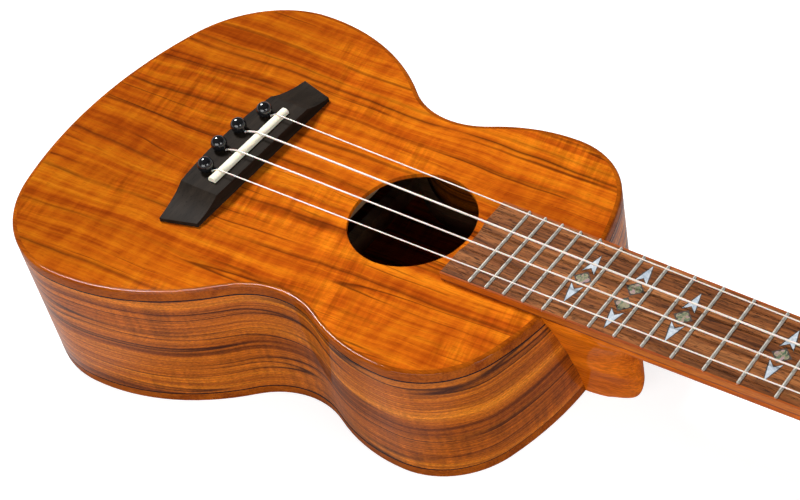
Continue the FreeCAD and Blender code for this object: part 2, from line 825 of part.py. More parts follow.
def arrow(x, start, side):
    """A swallow-tailed arrow whose tip points to one edge of the board."""
    half = size("arrow_half_width")
    barb = side * start
    notch = side * (start + size("arrow_notch"))
    tip = side * (start + size("arrow_length"))
    waist = side * (start + size("arrow_waist"))
    narrow = half * size("arrow_waist_share")
    return inlay([
        Vector(x - half, barb, 0),
        Vector(x, notch, 0),
        Vector(x + half, barb, 0),
        Vector(x + narrow, waist, 0),
        Vector(x, tip, 0),
        Vector(x - narrow, waist, 0),
    ])


def clover(x, y):
    """Four round petals about a centre."""
    petal = size("petal_radius")
    reach = size("petal_reach")
    low = BOARD - size("inlay_depth")
    tools = []
    for dx, dy in ((1, 0), (-1, 0), (0, 1), (0, -1)):
        centre = Vector(x + dx * reach, y + dy * reach, low)
        tools.append(Part.makeCylinder(petal, size("inlay_depth"), centre))
    core = block((x - petal, y - petal, low), (x + petal, y + petal, BOARD))
    return core.fuse(tools).removeSplitter()


SINGLE_MARKS = (3, 5, 7, 10, 14)
DOUBLE_MARK = 12


def mark_x(number):
    """The middle of the space behind a fret."""
    return (fret_x(number) + fret_x(number - 1)) / 2


def make_inlays():
    pearl = []
    abalone = []
    for number in SINGLE_MARKS:
        x = mark_x(number)
        pearl += [arrow(x, size("arrow_start"), side) for side in (1, -1)]
        abalone.append(clover(x, 0))
    x = mark_x(DOUBLE_MARK)
    step = size("clover_step")
    pearl += [arrow(x, size("arrow_start") + step, side) for side in (1, -1)]
    abalone += [clover(x, step), clover(x, -step)]
    keep_shape(Part.makeCompound(pearl), "pearl_inlays")
    keep_shape(Part.makeCompound(abalone), "abalone_inlays")
    return pearl + abalone


def make_side_dots():
    """Small dots let into the bass side of the binding, two of them at the twelfth."""
    depth = size("dot_depth")
    pair_gap = size("dot_pair_gap")
    dots = []
    places = [(mark_x(number), 0) for number in SINGLE_MARKS]
    places += [(mark_x(DOUBLE_MARK), shift) for shift in (-pair_gap, pair_gap)]
    slope = (size("board_nut_half") - size("board_end_half")) / (size("scale_length") - size("board_end_x"))
    outward = Vector(-slope, 1, 0)
    outward.normalize()
    for x, shift in places:
        place = x + shift
        start = Vector(place, board_half(place), BOARD / 2) - outward * depth
        dots.append(Part.makeCylinder(size("dot_radius"), depth, start, outward))
    keep_shape(Part.makeCompound(dots), "side_dots")
    return dots


def make_fretboard():
    scoop = Part.makeCylinder(size("board_end_arc"), 3 * BOARD, Vector(size("soundhole_x"), 0, -BOARD))
    tangs = [make_tang(fret_x(number)) for number in fret_numbers()]
    inlays = make_inlays()
    dots = make_side_dots()
    core = tapered_slab(size("board_binding"))
    keep_shape(core.cut([scoop] + tangs + inlays), "fretboard")
    keep_shape(tapered_slab(0).cut([core] + dots), "fretboard_binding")
    frets = [make_fret(fret_x(number)) for number in fret_numbers()]
    keep_shape(Part.makeCompound(frets), "frets")


def saddle_y():
    step = size("string_spread_saddle") / 3
    return [1.5 * step, 0.5 * step, -0.5 * step, -1.5 * step]


def nut_y():
    step = size("string_spread_nut") / 3
    return [1.5 * step, 0.5 * step, -0.5 * step, -1.5 * step]


NUT_CREST = 0.3


def string_run(name, over_nut, place):
    """Where a string crosses the nut and where its straight run would touch its post."""
    u, v, side = place
    radius = string_radius(name)
    rest = size("string_seat_nut") + radius + size("string_seat_gap")
    over = Vector(size("scale_length") + NUT_CREST, over_nut, rest)
    wound = size("post_radius") + radius
    return over, HEAD.multVec(Vector(u, v - side * wound, size("winding_height")))


def make_nut():
    """A bone bar with a slot for each string that falls towards the headstock."""
    low_x = size("scale_length")
    half = size("board_nut_half")
    bar = block((low_x, -half, 0), (NUT_BACK_X, half, size("nut_height")))
    top_edges = [edge for edge in bar.Edges if edge.CenterOfMass.z > size("nut_height") - 1e-6]
    bar = bar.makeFillet(size("nut_round"), top_edges)
    slots = []
    for name, y, place in zip(STRINGS, nut_y(), post_places()):
        over, touch = string_run(name, y, place)
        heading = math.degrees(math.atan2(touch.y - over.y, touch.x - over.x))
        turn = Rotation(AXIS_Z, heading) * Rotation(AXIS_Y, size("headstock_angle"))
        half_slot = string_radius(name) + size("nut_slot_clearance")
        slot = block((-2, -half_slot, 0), (12, half_slot, 4))
        slot.Placement = Placement(Vector(low_x, y, size("string_seat_nut")), turn)
        slots.append(slot)
    keep_shape(bar.cut(slots), "nut")


# ---------------------------------------------------------------- neck and headstock

ROUND = 2.0
FULL = 2.4
SQUARE = 5.0


def rounded_section(half, depth, fullness, place):
    """A U-shaped wire: a superellipse belly below its datum line and straight sides above."""
    lift = 30.0
    power = 2.0 / fullness
    left = Vector(0, -half, 0)
    right = Vector(0, half, 0)
    up = Vector(0, 0, lift)
    belly = [left]
    for step in range(-3, 4):
        angle = step * math.pi / 8
        across = math.copysign(abs(math.sin(angle)) ** power, angle) * half
        belly.append(Vector(0, across, -depth * math.cos(angle) ** power))
    belly.append(right)
    curve = Part.BSplineCurve()
    curve.interpolate(belly, InitialTangent=Vector(0, 0, -1), FinalTangent=Vector(0, 0, 1))
    edges = [
        curve.toShape(),
        Part.makeLine(right, right + up),
        Part.makeLine(right + up, left + up),
        Part.makeLine(left + up, left),
    ]
    wire = Part.Wire(edges)
    wire.Placement = place
    return wire


def upright(x):
    return Placement(Vector(x, 0, 0), Rotation())


def neck_shaft():
    nut_x = NUT_BACK_X - size("throat_length")
    cove_x = size("neck_cove_x")
    deep = size("neck_depth_heel")
    slim = size("neck_depth_nut")
    first = rounded_section(board_half(cove_x), deep, ROUND, upright(cove_x))
    second = rounded_section(board_half(nut_x), slim, ROUND, upright(nut_x))
    return Part.makeLoft([first, second], True, True)


def heel_half(z):
    """Half width of the heel where it meets the body, narrowing to the heel's bottom."""
    low = size("heel_low_half")
    rise = 1 + z / size("heel_depth")
    return low + (board_half(size("heel_root_x")) - low) * rise ** size("heel_taper")


def cove_section(degrees):
    """One section of the cove, in a plane turned round the cove's axis."""
    radius = size("neck_cove_radius")
    root_x = size("heel_root_x")
    pivot = Vector(size("neck_cove_x"), 0, -size("neck_depth_heel") - radius)
    turn = Rotation(AXIS_Y, -degrees)
    out = turn.multVec(AXIS_Z)
    to_top = -pivot.z / out.z if degrees < 89 else FAR
    to_root = (root_x - pivot.x) / out.x if degrees > 1 else FAR
    reach = min(to_top, to_root)
    datum = pivot + out * reach
    half = board_half(datum.x) if to_top < to_root else heel_half(datum.z)
    return rounded_section(half, reach - radius, ROUND, Placement(datum, turn))


HEEL_LEVELS = ((0.54, 30.2), (0.7, 30.6), (0.85, 28.4), (0.945, 23.4), (1.0, 15.5))


def heel():
    """The heel: sections turn round the cove from upright to level, then go down.

    Each level is a share of the heel's depth and the heel's reach from the body there.
    """
    root_x = size("heel_root_x")
    depth = size("heel_depth")
    level = Rotation(AXIS_Y, -90)
    wires = [cove_section(degrees) for degrees in range(0, 91, 10)]
    for share, reach in HEEL_LEVELS:
        datum = Vector(root_x, 0, -depth * share)
        wires.append(rounded_section(heel_half(datum.z), reach, ROUND, Placement(datum, level)))
    return Part.makeLoft(wires, True, False)


# The headstock's side: shares of its length and of its widening from root to crown.
HEADSTOCK_SIDE = ((0.0, 0.0), (0.13, 0.2), (0.3, 0.85), (0.62, 0.91), (0.93, 1.0))
CROWN_CORNER = (0.978, 0.985)


def headstock_outline():
    """Plan of the headstock: flared sides, round corners and a gently bowed crown."""
    root = size("headstock_root_half")
    wide = size("headstock_wide_half")
    length = size("headstock_length")
    side = [Vector(along * length, root + widening * (wide - root), 0) for along, widening in HEADSTOCK_SIDE]
    inset = size("crown_corner_inset")
    crown_edge = Vector(CROWN_CORNER[1] * length, wide - inset, 0)
    corner_mid = Vector(CROWN_CORNER[0] * length, wide - inset / 4, 0)
    curve = Part.BSplineCurve()
    curve.interpolate(side, InitialTangent=Vector(1, 0, 0), FinalTangent=Vector(1, 0.1, 0))
    corner = Part.Arc(side[-1], corner_mid, crown_edge)
    bass = [curve.toShape(), corner.toShape()]
    treble = [edge.mirror(Vector(0, 0, 0), AXIS_Y) for edge in bass]
    middle = Vector(length, 0, 0)
    mirrored = Vector(crown_edge.x, -crown_edge.y, 0)
    crown = Part.Arc(crown_edge, middle, mirrored).toShape()
    foot = Part.makeLine(Vector(0, -root, 0), Vector(0, root, 0))
    return Part.Face(Part.Wire(Part.__sortEdges__(bass + treble + [crown, foot])))


def post_places():
    """Tuner post places on the headstock in string order: u, v and the side they face."""
    near = (size("post_near_u"), size("post_near_v"))
    far = (size("post_far_u"), size("post_far_v"))
    return [(near[0], near[1], 1), (far[0], far[1], 1), (far[0], -far[1], -1), (near[0], -near[1], -1)]


THROAT_SWELL = 0.2
THROAT_END_U = 8.0


def make_neck():
    head_thick = size("headstock_thick")
    nut_x = NUT_BACK_X - size("throat_length")
    slim = size("neck_depth_nut")
    root = size("headstock_root_half")
    start = rounded_section(board_half(nut_x), slim, ROUND, upright(nut_x))
    middle_x = nut_x + size("throat_length") / 2
    middle = rounded_section(board_half(middle_x), slim + THROAT_SWELL, FULL, upright(middle_x))
    end = rounded_section(root, head_thick, SQUARE, HEAD * upright(THROAT_END_U))
    blend = Part.makeLoft([start, middle, end], True, False)
    plate = headstock_outline()
    plate.translate(Vector(0, 0, -head_thick))
    plate = plate.extrude(Vector(0, 0, head_thick))
    front = block((0, -FAR, 0), (FAR, FAR, FAR))
    front.Placement = HEAD
    bores = []
    for u, v, side in post_places():
        bore = Part.makeCylinder(size("bushing_radius"), head_thick + 2, Vector(u, v, -head_thick - 1))
        bores.append(bore)
    plate = plate.cut(bores + screw_hole_tools())
    plate.Placement = HEAD
    over = block((0, -FAR, 0), (FAR, FAR, FAR))
    neck = neck_shaft().fuse([heel(), blend]).cut(over)
    neck = neck.cut(front).fuse(plate)
    neck = neck.cut(outline_prism(0.0, DEEP, 20.0))
    keep_shape(neck.removeSplitter(), "neck")


def make_faceplate():
    face = headstock_outline()
    thick = size("faceplate_thick")
    plate = face.extrude(Vector(0, 0, thick))
    bores = [
        Part.makeCylinder(size("bushing_radius"), 3 * thick, Vector(u, v, -thick))
        for u, v, side in post_places()
    ]
    keep_shape(plate.cut(bores), "headstock_faceplate", ROW * HEAD)


# ---------------------------------------------------------------- tuners

def gear_pitch_radius():
    return size("gear_module") * size("gear_teeth") / 2


def worm_offset():
    return gear_pitch_radius() + size("worm_pitch_radius") + 0.1


def gear_levels():
    """Heights of the gear's upper and lower faces below the headstock's front."""
    top = -size("headstock_thick") - size("tuner_plate_thick") - size("gear_drop")
    return top - size("gear_thick"), top


def make_post(name, place):
    """A turned post with a domed top and a cross hole for the string."""
    body = new_body("tuner_post_" + name)
    profile = new_sketch(body, "XZ_Plane")
    low = "-sizes.headstock_thick - sizes.tuner_plate_thick - sizes.gear_drop - sizes.gear_thick"
    radius = "sizes.post_radius"
    add_polygon(profile, [
        ("0", low),
        (radius, low),
        (radius, "sizes.post_top - sizes.post_dome_height"),
        ("sizes.post_radius - sizes.post_dome_inset", "sizes.post_top"),
        ("0", "sizes.post_top"),
    ])
    revolve(body, profile)
    hole = new_sketch(body, "XZ_Plane")
    add_circle(hole, "0", "sizes.winding_height", "sizes.post_hole_radius")
    pocket(body, hole, "4 * sizes.post_radius", symmetric=True)
    keep(body, "tuner_post_" + name, place)


GEAR_ROOT_SHARE = 1.0
GEAR_TIP_SHARE = 0.75


def make_gear(name, place):
    """The worm wheel on the post's lower end; its first tooth faces the worm."""
    low, top = gear_levels()
    teeth = int(size("gear_teeth"))
    module = size("gear_module")
    pitch_radius = gear_pitch_radius()
    root = pitch_radius - GEAR_ROOT_SHARE * module
    tip = pitch_radius + GEAR_TIP_SHARE * module
    wide = size("tooth_root_half")
    slim = size("tooth_tip_half")
    points = []
    for tooth in range(teeth):
        middle = 2 * math.pi * tooth / teeth
        for radius, half in ((root, wide), (tip, slim), (tip, -slim), (root, -wide)):
            angle = middle - half / radius
            points.append(Vector(radius * math.cos(angle), radius * math.sin(angle), low))
    wheel = Part.Face(Part.makePolygon(points + points[:1])).extrude(Vector(0, 0, top - low))
    hub_top = -size("headstock_thick") - size("tuner_plate_thick") - size("hub_gap")
    hub = Part.makeCylinder(size("post_radius") + size("hub_wall"), hub_top - low, Vector(0, 0, low))
    bore = Part.makeCylinder(size("post_radius"), FAR, Vector(0, 0, -FAR))
    keep_shape(wheel.fuse(hub).removeSplitter().cut(bore), "tuner_gear_" + name, place)


def make_winding(name, place):
    """Turns of string stacked on the post."""
    radius = string_radius(name)
    height = size("winding_height") - 2 * radius
    rise = 2 * radius * size("winding_pack")
    count = int(size("winding_turns"))
    middle = size("post_radius") + radius
    turns = [Part.makeTorus(middle, radius, Vector(0, 0, height + rise * turn)) for turn in range(count)]
    sleeve = Part.makeCylinder(middle, rise * (count - 1), Vector(0, 0, height))
    post = Part.makeCylinder(size("post_radius") + size("string_seat_gap"), FAR, Vector(0, 0, -FAR / 2))
    keep_shape(sleeve.fuse(turns).cut(post), "string_winding_" + name, place)


def worm_level():
    low, top = gear_levels()
    return (low + top) / 2


def face_side(shape, side):
    """Tuner pieces are drawn for the bass side; the treble side mirrors them."""
    return shape if side > 0 else shape.mirror(Vector(0, 0, 0), AXIS_Y)


def worm_frame():
    """Places a shape drawn along +Z on the worm's axis, pointing out of the headstock."""
    return Placement(Vector(worm_offset(), 0, worm_level()), Rotation(Vector(1, 0, 0), -90))


def make_worm_shaft(name, place, side):
    """A shaft with one screw thread beside the wheel, a thread gap facing its first tooth."""
    pitch = math.pi * size("gear_module")
    root = size("worm_root_radius")
    tip = size("worm_tip_radius")
    threaded = size("worm_turns") * pitch
    helix = Part.makeHelix(pitch, threaded, root)
    buried = root - size("thread_bury")
    wide = size("thread_root_half")
    slim = size("thread_tip_half")
    profile = [
        Vector(buried, 0, -wide),
        Vector(tip, 0, -slim),
        Vector(tip, 0, slim),
        Vector(buried, 0, wide),
    ]
    thread = Part.Wire(helix.Edges).makePipeShell([Part.makePolygon(profile + profile[:1])], True, True)
    thread.Placement = Placement(Vector(0, 0, -threaded / 2), Rotation(Vector(0, 0, 1), 180))
    inner = -size("shaft_inner")
    shaft = Part.makeCylinder(root, size("shaft_outer") - inner, Vector(0, 0, inner))
    worm = shaft.fuse(thread)
    worm.Placement = worm_frame()
    keep_shape(face_side(worm, side), "tuner_worm_shaft_" + name, place)


def make_button(name, place, side):
    """An oval finger button on the outer end of the worm shaft."""
    start = size("button_start")
    length = size("button_length")
    half_thick = size("button_half_thick")
    middle = start + size("button_neck_show") + length / 2
    oval = Part.Ellipse(Vector(0, 0, 0), size("button_half_width"), length / 2).toShape()
    knob = Part.Face(Part.Wire(oval)).extrude(Vector(0, 0, 2 * half_thick))
    knob = knob.makeFillet(half_thick * size("button_round_share"), knob.Edges)
    knob.Placement = Placement(Vector(0, -half_thick, middle), Rotation(Vector(1, 0, 0), -90))
    neck = Part.makeCylinder(size("button_neck_radius"), size("button_neck_length"), Vector(0, 0, start))
    bore = Part.makeCylinder(size("worm_root_radius") + size("button_fit"), size("shaft_outer"))
    button = knob.fuse(neck).cut(bore)
    button.Placement = worm_frame()
    keep_shape(face_side(button, side), "tuner_button_" + name, place)


def screw_places():
    return [(-size("screw_back"), side * size("screw_side")) for side in (1, -1)]


def tuner_frames():
    """Each tuner's own frame on the headstock, with the side it faces."""
    return [(Placement(Vector(u, v, 0), Rotation()), side) for u, v, side in post_places()]


def tuner_plate():
    """A base plate with two lugs that carry the worm shaft."""
    thick = size("tuner_plate_thick")
    top = -size("headstock_thick")
    bore = size("post_radius") + size("post_bore_clearance")
    centre = worm_offset()
    sheet_half = size("lug_outer")
    back = -size("tuner_plate_back")
    lug = size("lug_radius")
    plate = block((back, -sheet_half, top - thick), (centre + size("tuner_plate_front"), sheet_half, top))
    lugs = []
    for low in (size("lug_inner"), -size("lug_outer")):
        width = size("lug_outer") - size("lug_inner")
        lugs.append(block((centre - lug, low, worm_level()), (centre + lug, low + width, top - thick)))
        lugs.append(Part.makeCylinder(lug, width, Vector(centre, low, worm_level()), AXIS_Y))
    holes = [Part.makeCylinder(bore, 3 * thick, Vector(0, 0, top - 2 * thick))]
    shaft_bore = size("worm_root_radius") + size("post_bore_clearance")
    holes.append(Part.makeCylinder(shaft_bore, 2 * FAR, Vector(centre, -FAR, worm_level()), AXIS_Y))
    for x, y in screw_places():
        holes.append(Part.makeCylinder(size("screw_radius"), 3 * thick, Vector(x, y, top - 2 * thick)))
    return plate.fuse(lugs).removeSplitter().cut(holes)


def tuner_screw(x, y):
    """A small round-head wood screw with a cross slot."""
    seat = -size("headstock_thick") - size("tuner_plate_thick")
    shank = Part.makeCylinder(size("screw_radius"), size("screw_length"), Vector(x, y, seat))
    ball = size("screw_head_radius")
    low = seat - size("screw_head_height")
    dome = Part.makeSphere(ball, Vector(x, y, low + ball))
    head = dome.common(block((x - ball, y - ball, low), (x + ball, y + ball, seat)))
    long = size("screw_slot_half")
    thin = size("screw_slot_width") / 2
    depth = (low + seat) / 2
    slots = [
        block((x - long, y - thin, low), (x + long, y + thin, depth)),
        block((x - thin, y - long, low), (x + thin, y + long, depth)),
    ]
    return shank.fuse(head).cut(slots)


def screw_hole_tools():
    tools = []
    low = -size("headstock_thick") - size("tuner_plate_thick")
    for frame, side in tuner_frames():
        for x, y in screw_places():
            tool = Part.makeCylinder(size("screw_radius"), size("screw_length"), Vector(x, y, low))
            tool.Placement = frame
            tools.append(tool)
    return tools


def bushing():
    radius = size("bushing_radius")
    face = size("faceplate_thick")
    depth = size("bushing_depth")
    ring = Part.makeCylinder(radius, face + depth, Vector(0, 0, -depth))
    flange = Part.makeCylinder(size("bushing_flange"), size("bushing_lip"), Vector(0, 0, face))
    bore = Part.makeCylinder(size("post_radius") + size("post_bore_clearance"), FAR, Vector(0, 0, -FAR / 2))
    return ring.fuse(flange).removeSplitter().cut(bore)


def moved(shape, frame):
    copy = shape.copy()
    copy.Placement = frame * copy.Placement
    return copy


def make_tuners():
    plates = []
    bushings = []
    screws = []
    for name, (frame, side) in zip(STRINGS, tuner_frames()):
        place = ROW * HEAD * frame
        make_post(name, place)
        make_gear(name, place)
        make_winding(name, place)
        make_worm_shaft(name, place, side)
        make_button(name, place, side)
        plates.append(moved(face_side(tuner_plate(), side), frame))
        bushings.append(moved(bushing(), frame))
        screws += [moved(tuner_screw(x, y), frame) for x, y in screw_places()]
    keep_shape(Part.makeCompound(plates), "tuner_plates", ROW * HEAD)
    keep_shape(Part.makeCompound(bushings), "tuner_bushings", ROW * HEAD)
    keep_shape(Part.makeCompound(screws), "tuner_screws", ROW * HEAD)


# ---------------------------------------------------------------- strings

def rounded_path(points, radii):
    """Straight runs joined by tangent arcs of the given radii at the inner points."""
    edges = []
    start = points[0]
    for before, corner, after, radius in zip(points, points[1:], points[2:], radii):
        inward = (before - corner).normalize()
        onward = (after - corner).normalize()
        half_turn = (math.pi - inward.getAngle(onward)) / 2
        reach = radius * math.tan(half_turn)
        bisector = (inward + onward).normalize()
        middle = corner + bisector * (radius / math.cos(half_turn) - radius)
        enter = corner + inward * reach
        leave = corner + onward * reach
        edges.append(Part.LineSegment(start, enter).toShape())
        edges.append(Part.Arc(enter, middle, leave).toShape())
        start = leave
    edges.append(Part.LineSegment(start, points[-1]).toShape())
    return Part.Wire(edges)


def tube(path, radius):
    """A round bar swept along a path, checked against its length times its section."""
    start = path.Edges[0]
    normal = start.tangentAt(start.FirstParameter)
    profile = Part.Wire(Part.makeCircle(radius, start.valueAt(start.FirstParameter), normal))
    bar = path.makePipeShell([profile], True, True)
    expected = path.Length * math.pi * radius ** 2
    if abs(bar.Volume - expected) > 0.01 * expected:
        raise ValueError("a string's volume is off: %.2f against %.2f" % (bar.Volume, expected))
    return bar


# The string's corner sits behind the crown by this share of the bend's radius, about
# the tangent of half the turn, so that the run to the nut leaves near the crown.
SADDLE_LEAD = 0.21


def make_strings():
    seat = size("string_seat_saddle")
    seat_gap = size("string_seat_gap")
    crown = size("saddle_crown")
    bow = ((size("saddle_thick") / 2) ** 2 + crown ** 2) / (2 * crown)
    rows = zip(STRINGS, pin_points(), saddle_y(), nut_y(), post_places())
    for name, (pin_x, pin_y), over_saddle, over_nut, place in rows:
        radius = string_radius(name)
        drop_x = string_drop_x(pin_x, radius)
        knot = size("knot_radius")
        under = -PLATE - size("bridge_plate_height")
        saddle_bend = bow + radius
        wound = size("post_radius") + radius
        over, touch = string_run(name, over_nut, place)
        span = touch - over
        clear = math.sqrt((wound + 2 * radius + size("winding_gap")) ** 2 - wound ** 2)
        points = [
            Vector(drop_x, pin_y, under - knot),
            Vector(drop_x, pin_y, size("bridge_height") + size("string_lift")),
            Vector(size("saddle_x") - SADDLE_LEAD * saddle_bend, over_saddle, seat + radius + seat_gap),
            over,
            touch - span * (clear / span.Length),
        ]
        bends = (size("string_bend_pin"), saddle_bend, size("string_bend_nut"))
        bar = tube(rounded_path(points, bends), radius)
        bead = Part.makeSphere(knot, Vector(drop_x + knot / 2, pin_y, under - knot - seat_gap))
        keep_shape(bar.fuse(bead), "string_" + name)


# ---------------------------------------------------------------- assembly

def check_document():
    """Stop if any object failed or any sub-part has no valid shape."""
    doc.recompute()
    for item in doc.Objects:
        bad = [state for state in item.State if state in ("Invalid", "Error")]
        if bad:
            raise ValueError("%s is %s" % (item.Label, bad))
    for item in SUBPARTS:
        if item.Shape.isNull() or not item.Shape.isValid():
            raise ValueError(item.Label + " has no valid shape")


def export_parts():
    os.makedirs("parts", exist_ok=True)
    for item in SUBPARTS:
        item.Shape.exportStep("parts/%s.step" % item.Label)


make_rims()
make_sides()
make_blocks_and_linings()
make_plates()
make_braces()
make_bridge()
make_saddle()
make_pins()
make_fretboard()
make_nut()
make_neck()
make_faceplate()
make_tuners()
make_strings()
check_document()
export_parts()
print(len(SUBPARTS), "sub-parts written")
for item in SUBPARTS:
    print(item.Label, len(item.Shape.Solids), round(item.Shape.Volume, 1))
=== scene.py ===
import json
import math

import bmesh
import bpy
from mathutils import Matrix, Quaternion, Vector


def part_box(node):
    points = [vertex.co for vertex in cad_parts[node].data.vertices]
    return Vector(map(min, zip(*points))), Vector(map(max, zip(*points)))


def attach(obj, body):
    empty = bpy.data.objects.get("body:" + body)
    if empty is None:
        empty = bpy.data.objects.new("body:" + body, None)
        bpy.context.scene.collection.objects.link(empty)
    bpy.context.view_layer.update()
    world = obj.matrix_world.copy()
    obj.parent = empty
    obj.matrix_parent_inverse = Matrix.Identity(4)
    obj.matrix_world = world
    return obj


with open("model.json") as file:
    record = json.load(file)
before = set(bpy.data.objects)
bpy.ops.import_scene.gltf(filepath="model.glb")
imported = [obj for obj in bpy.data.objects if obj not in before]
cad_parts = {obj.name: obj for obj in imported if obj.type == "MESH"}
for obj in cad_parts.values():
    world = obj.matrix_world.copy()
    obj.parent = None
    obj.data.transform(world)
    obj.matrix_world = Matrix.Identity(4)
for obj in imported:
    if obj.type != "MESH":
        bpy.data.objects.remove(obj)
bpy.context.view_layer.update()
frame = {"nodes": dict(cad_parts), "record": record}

# The soundboard's upward direction: the line along which the bridge pins pull out.
UP = Vector(next(joint["axis"] for joint in frame["record"]["behaviour"]["joints"]
                 if joint["name"] == "pin_g_pull"))


# ---------------------------------------------------------------- material building

class Graph:
    """Short calls that build one material's node tree."""

    def __init__(self, name):
        self.material = bpy.data.materials.new(name)
        self.material.use_nodes = True
        self.tree = self.material.node_tree
        self.tree.nodes.clear()
        place = self.add("ShaderNodeTexCoord")
        self.place = place.outputs["Object"]

    def add(self, kind, **settings):
        node = self.tree.nodes.new(kind)
        for key, value in settings.items():
            setattr(node, key, value)
        return node

    def plug(self, socket, value):
        """Links a socket to another node's output, or sets it to a fixed value."""
        if isinstance(value, bpy.types.NodeSocket):
            self.tree.links.new(value, socket)
        else:
            socket.default_value = value

    def math(self, operation, first, second=0.0, third=0.0):
        node = self.add("ShaderNodeMath", operation=operation)
        for socket, value in zip(node.inputs, (first, second, third)):
            self.plug(socket, value)
        return node.outputs[0]

    def axes(self):
        """The x, y and z places as three values, in metres."""
        node = self.add("ShaderNodeSeparateXYZ")
        self.plug(node.inputs[0], self.place)
        return node.outputs

    def vector(self, x, y, z):
        node = self.add("ShaderNodeCombineXYZ")
        for socket, value in zip(node.inputs, (x, y, z)):
            self.plug(socket, value)
        return node.outputs[0]

    def scaled(self, vector, factors):
        node = self.add("ShaderNodeVectorMath", operation="MULTIPLY")
        self.plug(node.inputs[0], vector)
        self.plug(node.inputs[1], factors)
        return node.outputs[0]

    def noise(self, vector, factors, detail=3.0, roughness=0.5, distortion=0.0):
        """Noise whose cells have the given number per metre along x, y and z."""
        node = self.add("ShaderNodeTexNoise")
        self.plug(node.inputs["Vector"], self.scaled(vector, factors))
        self.plug(node.inputs["Scale"], 1.0)
        self.plug(node.inputs["Detail"], detail)
        self.plug(node.inputs["Roughness"], roughness)
        self.plug(node.inputs["Distortion"], distortion)
        return node.outputs["Fac"]

    def range(self, value, low, high, to_low=0.0, to_high=1.0):
        """Maps low..high to to_low..to_high, smoothly and without overshoot."""
        node = self.add("ShaderNodeMapRange", interpolation_type="SMOOTHSTEP")
        for socket, amount in zip(node.inputs, (value, low, high, to_low, to_high)):
            self.plug(socket, amount)
        return node.outputs[0]

    def ramp(self, value, stops):
        """A colour ramp of (place, colour) stops; a grey may be given as one number."""
        node = self.add("ShaderNodeValToRGB")
        band = node.color_ramp
        while len(band.elements) < len(stops):
            band.elements.new(1.0)
        for element, (place, colour) in zip(band.elements, stops):
            element.position = place
            shade = colour if isinstance(colour, tuple) else (colour,) * 3
            element.color = (*shade, 1.0)
        self.plug(node.inputs[0], value)
        return node.outputs[0]

    def blend(self, amount, first, second, mode="MIX"):
        """The first colour gives way to the second by the given amount."""
        node = self.add("ShaderNodeMix", data_type="RGBA", blend_type=mode, clamp_factor=True)
        # of the mix node's inputs, 6 and 7 are the two colours
        sockets = (node.inputs[0], node.inputs[6], node.inputs[7])
        for socket, value in zip(sockets, (amount, first, second)):
            self.plug(socket, (*value, 1.0) if isinstance(value, tuple) else value)
        return node.outputs[2]

    def tint(self, colour, gain):
        """A colour made lighter or darker by a factor that varies over the surface."""
        return self.blend(1.0, colour, gain, "MULTIPLY")

    def product(self, *values):
        """Several values multiplied together."""
        total = values[0]
        for value in values[1:]:
            total = self.math("MULTIPLY", total, value)
        return total

    def ridges(self, contour, count, width):
        """Thin lines along the contours of a noise: 1 on a line, 0 beside it."""
        place = self.math("FRACT", self.math("MULTIPLY", contour, count))
        off = self.math("ABSOLUTE", self.math("SUBTRACT", place, 0.5))
        return self.range(off, 0.0, width, 1.0, 0.0)

    def bump(self, height, depth, strength=1.0):
        """A normal from a height of 0..1 that stands for the given depth in metres."""
        node = self.add("ShaderNodeBump")
        self.plug(node.inputs["Height"], height)
        self.plug(node.inputs["Distance"], depth)
        self.plug(node.inputs["Strength"], strength)
        return node.outputs[0]

    def surface(self, **inputs):
        """The Principled shader that ends the tree; underscores stand for spaces."""
        shader = self.add("ShaderNodeBsdfPrincipled")
        for key, value in inputs.items():
            if isinstance(value, tuple) and len(value) == 3:
                value = (*value, 1.0)
            self.plug(shader.inputs[key.replace("_", " ")], value)
        end = self.add("ShaderNodeOutputMaterial")
        self.tree.links.new(shader.outputs[0], end.inputs[0])
        return self.material


# ---------------------------------------------------------------- woods

def line_stops(places, half_span, width, strengths):
    """Ramp stops for dark lines at places measured from the middle of the span, in metres."""
    stops = [(0.0, 0.0)]
    half = width / (2 * half_span)
    for place, strength in zip(places, strengths):
        middle = (place + half_span) / (2 * half_span)
        stops += [(middle - half, 0.0), (middle, strength), (middle + half, 0.0)]
    return stops


# Where the soundboard's bold dark lines run, in metres from the centre line, and how dark each is.
TOP_LINES = (-0.085, -0.062, -0.041, -0.019, 0.0035, 0.021, 0.040, 0.055, 0.060, 0.071)
TOP_LINE_STRENGTHS = (0.8, 0.5, 0.9, 0.9, 0.8, 1.0, 0.8, 0.9, 0.7, 0.9)
TOP_LINE_WIDTH = 0.0012
TOP_HALF_WIDTH = 0.11


